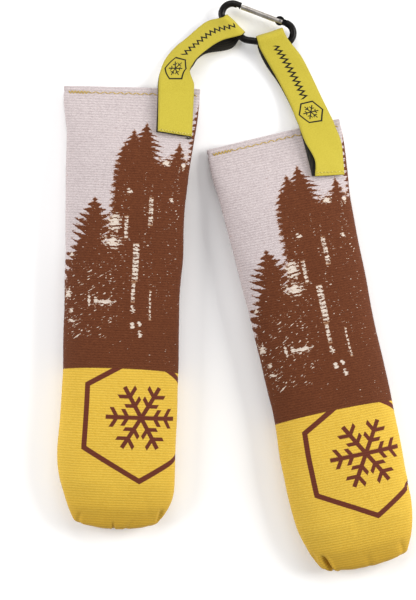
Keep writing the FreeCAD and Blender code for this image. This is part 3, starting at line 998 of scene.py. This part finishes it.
# ribbons: pairs of edge points from the carabiner to the fold over the bag's
# top edge for the layer in front; "behind" moves the same places of the layer
# behind; "bar" is the stretch of bar and the way the fold faces; "ends" go on
# down the bag to where both ends are sewn; "hinge" is where the pouch folds and
# "hinge_ahead" the way along the ribbon there, towards the carabiner
RIBBONS = {
    "left": {
        "bar": ((-7.8, 192.6, 8.0), (5.0, 179.7, 8.0), (0.728, 0.686, 0)),
        "loop": [((-20.3, 189.6, 8.0), (-8.9, 176.0, 12.5)),
                 ((-34.6, 178.1, 4.5), (-20.3, 168.9, 12.4)),
                 ((-43.2, 171.0, 3.6), (-26.8, 163.1, 13.4)),
                 ((-49.6, 163.1, 4.2), (-29.6, 158.9, 13.8)),
                 ((-53.2, 153.9, 7.5), (-31.8, 153.9, 12.8)),
                 ((-54.3, 146.0, 11.4), (-28.9, 145.2, 12.4)),
                 ((-54.3, 141.3, 12.6), (-28.9, 140.6, 12.6))],
        "behind": [((3.3, -3.6, -4.0), (6.4, -5.0, -6.6)),
                   ((1.0, -1.1, -0.8), (0, -1.4, -3.0)),
                   ((0, 0, 0), (0, 0, 0)),
                   ((0, 0, 0), (0, 0, 0)),
                   ((-0.4, 0, 0), (-0.4, 0, 0)),
                   ((-0.6, 0, 0), (-0.6, 0, 0)),
                   ((-0.6, 0, 0), (-0.6, 0, 0))],
        "ends": [((-54.3, 139.3, 12.8), (-28.9, 138.6, 12.8)),
                 ((-54.4, 125.0, 20.0), (-29.6, 123.0, 18.4)),
                 ((-54.6, 110.3, 26.0), (-30.3, 106.7, 21.6))],
        "ends_behind": [((-0.6, 0, 0), (-0.6, 0, 0)),
                        ((-0.7, 0, 0), (-0.7, 0, 0)),
                        ((-0.8, 0, 0), (-0.8, 0, 0))],
        "hinge": (-42.2, 139.45), "hinge_ahead": (0.0401, 0.9992),
    },
    "right": {
        "bar": ((16.6, 175.6, 8.0), (35.6, 181.8, 8.0), (-0.313, 0.95, 0)),
        "loop": [((17.9, 171.0, 12.5), (39.0, 176.0, 12.5)),
                 ((23.9, 160.3, 9.5), (47.5, 165.6, 9.5)),
                 ((31.8, 146.7, 7.5), (54.6, 152.4, 7.5)),
                 ((39.6, 131.0, 8.2), (62.1, 136.4, 8.2)),
                 ((44.6, 118.4, 11.6), (68.2, 123.4, 11.6)),
                 ((46.1, 115.1, 12.6), (70.7, 118.4, 12.6))],
        "behind": [((-0.8, -0.4, -8.9), (-0.8, -0.4, -8.9)),
                   ((-1.7, -0.9, -5.1), (-1.7, -0.9, -5.1)),
                   ((-0.6, -0.3, -2.7), (-0.6, -0.3, -2.7)),
                   ((0, 0, -1.6), (0, 0, -1.6)),
                   ((0, 0, -0.2), (0, 0, -0.2)),
                   ((0, 0, 0), (0, 0, 0))],
        "ends": [((46.6, 112.9, 12.9), (71.4, 116.1, 12.9)),
                 ((50.3, 103.2, 17.4), (76.0, 103.9, 15.6)),
                 ((57.1, 89.6, 23.8), (77.5, 90.3, 18.6)),
                 ((57.1, 78.2, 26.2), (78.2, 79.6, 21.8))],
        "ends_behind": [((0, 0, 0), (0, 0, 0)),
                        ((-0.8, 0, 0), (-0.8, 0, 0)),
                        ((-4.0, -0.6, 0), (-1.4, -0.6, 0)),
                        ((-1.8, 0.6, 0), (-0.8, 0.6, 0))],
        "hinge": (58.1, 115.0), "hinge_ahead": (-0.2028, 0.9792),
    },
}


def unit(a):
    return a / np.linalg.norm(a)


def station_normals(pairs):
    """The way that each station's outer face looks, for edge pairs listed along the ribbon."""
    mids = pairs.mean(1)
    ways = []
    for i in range(len(pairs)):
        along = mids[min(i + 1, len(mids) - 1)] - mids[max(i - 1, 0)]
        ways.append(unit(np.cross(pairs[i, 1] - pairs[i, 0], along)))
    return np.array(ways)


def rear_layer(front, shifts):
    """The layer behind, one layer step down, each edge moved by its shift."""
    ways = station_normals(front)
    ways = ways * np.where(ways[:, 2:3] < 0, -1.0, 1.0)
    return front - ways[:, None, :] * LAYER_STEP + shifts


def ribbon_stations(ribbon):
    """Edge pairs from the front sewn end, up and over the bar and back to the rear end."""
    loop = np.array(ribbon["loop"], float)
    ends = np.array(ribbon["ends"], float)
    rear = rear_layer(loop, np.array(ribbon["behind"], float))
    ends_rear = rear_layer(ends, np.array(ribbon["ends_behind"], float))
    a, b, out = (np.array(p, float) for p in ribbon["bar"])
    wrap = []
    for k in range(7):
        t = math.radians(90 - 30 * k)
        off = out * (WRAP_OUT * math.cos(t)) + np.array([0, 0, WRAP_UP * math.sin(t)])
        wrap.append((a + off, b + off))
    return np.concatenate([ends[::-1], loop[::-1], np.array(wrap), rear, ends_rear])


def catmull(p, knots, t):
    """Smooth curve values at t through the points p at knots."""
    i = int(np.clip(np.searchsorted(knots, t) - 1, 0, len(p) - 2))
    a, b = p[i], p[i + 1]
    h = knots[i + 1] - knots[i]
    before = p[max(i - 1, 0)]
    after = p[min(i + 2, len(p) - 1)]
    k_before = knots[max(i - 1, 0)]
    k_after = knots[min(i + 2, len(p) - 1)]
    slope_a = (b - before) / (knots[i + 1] - k_before)
    slope_b = (after - a) / (k_after - knots[i])
    x = (t - knots[i]) / h
    return ((2 * x ** 3 - 3 * x ** 2 + 1) * a + (x ** 3 - 2 * x ** 2 + x) * h * slope_a
            + (3 * x ** 2 - 2 * x ** 3) * b + (x ** 3 - x ** 2) * h * slope_b)


def smooth_ribbon(ribbon):
    """(edge pairs every millimetre or so, distances along, outward ways)."""
    pairs = ribbon_stations(ribbon)
    mids = pairs.mean(1)
    knots = np.concatenate([[0], np.cumsum(np.linalg.norm(np.diff(mids, axis=0), axis=1))])
    places = np.linspace(0, knots[-1], int(knots[-1] / SAMPLE) + 1)
    fine = np.array([catmull(pairs, knots, t) for t in places])
    return fine, places, station_normals(fine)


def make_ribbon(side, yellow, black):
    """The folded ribbon; gives its edge pairs and outward ways for the stitching."""
    pairs, places, ways = smooth_ribbon(RIBBONS[side])
    points, flats, faces, kinds = [], [], [], []
    share = np.linspace(0, 1, ACROSS + 1)
    crown = 0.5 * RIBBON_THICK * (1 - np.abs(2 * share - 1) ** 8 * 0.45)
    for i, (a, b) in enumerate(pairs):
        ripple = 0.10 * np.sin(share * 9.0 + places[i] * 0.21)
        for face in (1, -1):
            order = range(ACROSS + 1) if face == 1 else range(ACROSS, -1, -1)
            for k in order:
                middle = a * (1 - share[k]) + b * share[k] + ways[i] * ripple[k]
                points.append(middle + ways[i] * crown[k] * face)
                flats.append((places[i], (share[k] - 0.5) * RIBBON_WIDTH, float(face)))
    ring = 2 * (ACROSS + 1)
    for i in range(len(pairs) - 1):
        for k in range(ring):
            n = (k + 1) % ring
            faces.append((i * ring + k, i * ring + n, (i + 1) * ring + n, (i + 1) * ring + k))
            kinds.append(0 if k < ACROSS else 1)
    faces.append(tuple(range(ring))[::-1])
    faces.append(tuple((len(pairs) - 1) * ring + k for k in range(ring)))
    kinds += [1, 1]
    made = add_mesh(side + "_ribbon", (np.array(points) + TO_MIDDLE) * MM, faces)
    write_flat(made.data, flats)
    made.data.materials.append(yellow)
    made.data.materials.append(black)
    made.data.polygons.foreach_set("material_index", kinds)
    smooth_faces(made.data)
    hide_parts(side + "_strap", side + "_strap_sewn_ends")
    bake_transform(made)
    return pairs, ways


# stitches at a ribbon's cut end: station from the end, how many, sideways swing
END_STITCHES = {"left": (1, 12, 0.75), "right": (2, 8, 0.15)}
KNOT_AT = np.array([-32.5, 105.8, ABOVE])
KNOT_STRANDS = 9
KNOT_TURN = 2.4


def make_ribbon_stitching(side, pairs, ways, material):
    """A row of short stitches near the front layer's cut end."""
    runs = []
    station, count, swing = END_STITCHES[side]
    over = RIBBON_THICK / 2 + 0.12
    a, b = pairs[station]
    ahead = unit(pairs[station + 1].mean(0) - pairs[station - 1].mean(0))
    for k in range(count):
        lean = swing * (1 if k % 2 else -1) * random.uniform(0.8, 1.2)
        first = a + (b - a) * ((k + 0.30) / count) + ahead * lean
        last = a + (b - a) * ((k + 0.96) / count) - ahead * lean
        run = []
        for i in range(5):
            share = i / 4
            lift = over + 0.38 * (1 - (2 * share - 1) ** 2) - 0.14
            run.append((first * (1 - share) + last * share + ways[station] * lift + TO_MIDDLE) * MM)
        runs.append(run)
    made = thread_object(side + "_ribbon_stitching", runs, RIBBON_THREAD, material)
    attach(made, side + "_pouch")
    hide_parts(side + "_strap_stitching")


def make_thread_knot(find, material):
    """A tuft of loose dark thread where the left ribbon's stitching was finished off."""
    runs = []
    middle = KNOT_AT + TO_MIDDLE
    for k in range(KNOT_STRANDS):
        turn = k * KNOT_TURN
        reach = 1.0 + 0.35 * (k % 3)
        centre = middle + np.array([random.uniform(-1.6, 1.6), random.uniform(-0.5, 0.6), 0.0])
        ahead = np.array([math.cos(turn), 0.5 * math.sin(turn), 0.0]) * reach
        run = stitch(find, (centre - ahead) * MM, (centre + ahead) * MM, DOWNWARDS, 0.9 + 0.12 * k)
        if run:
            runs.append(run)
    made = thread_object("left_thread_knot", runs, KNOT_THREAD, material)
    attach(made, "left_pouch")


# ----------------------------------------------------------------- carabiner

def dress_carabiner():
    """Gives each metal CAD node its finish."""
    black = metal_material("black_anodised", colour(38, 35, 33), colour(20, 18, 18), 0.75, 0.34, 0.6)
    bare = metal_material("bare_aluminium", colour(214, 208, 200), colour(176, 168, 160), 1.0, 0.30, 0.4)
    steel = metal_material("steel", colour(170, 168, 166), colour(128, 126, 126), 1.0, 0.28, 0.8)
    brass = metal_material("brass_plunger", colour(214, 178, 96), colour(176, 138, 66), 1.0, 0.30, 0.8)
    finish = {"carabiner_body": (black, "black_anodised"), "carabiner_gate": (bare, "bare_aluminium"),
              "gate_rivet": (steel, "steel"), "gate_catch_pin": (steel, "steel"),
              "gate_plunger": (brass, "brass_plunger"), "gate_spring": (steel, "steel")}
    for name, (material, slot) in finish.items():
        piece = nodes[name]
        piece.data.materials.clear()
        piece.data.materials.append(material)


FLOOR_HALF = 6.0  # metres
FLOOR_Z = -0.0002


def make_floor():
    corners = [(x * FLOOR_HALF, y * FLOOR_HALF, FLOOR_Z) for x, y in ((-1, -1), (1, -1), (1, 1), (-1, 1))]
    floor = add_mesh("table", corners, [(0, 1, 2, 3)])
    floor.data.materials.append(floor_material())


def main():
    make_camera()
    make_light()
    make_floor()
    dress_carabiner()
    yellow_thread = thread_material("yellow_thread", colour(236, 202, 88), colour(200, 160, 60))
    brown_thread = thread_material("brown_thread", colour(120, 74, 48), colour(84, 48, 30))
    pouches = make_pouches(printed_polyester())
    make_pouch_threads(pouches, yellow_thread, brown_thread)
    yellow = ribbon_material("yellow_ribbon", False)
    black = ribbon_material("ribbon_inside", True)
    bright_thread = thread_material("bright_thread", colour(246, 232, 104), colour(220, 200, 70))
    for side in ("left", "right"):
        pairs, ways = make_ribbon(side, yellow, black)
        make_ribbon_stitching(side, pairs, ways, bright_thread)
    dark_thread = thread_material("dark_thread", colour(70, 52, 34), colour(34, 26, 20))
    make_thread_knot(surface_finder(pouches["left"]), dark_thread)


main()
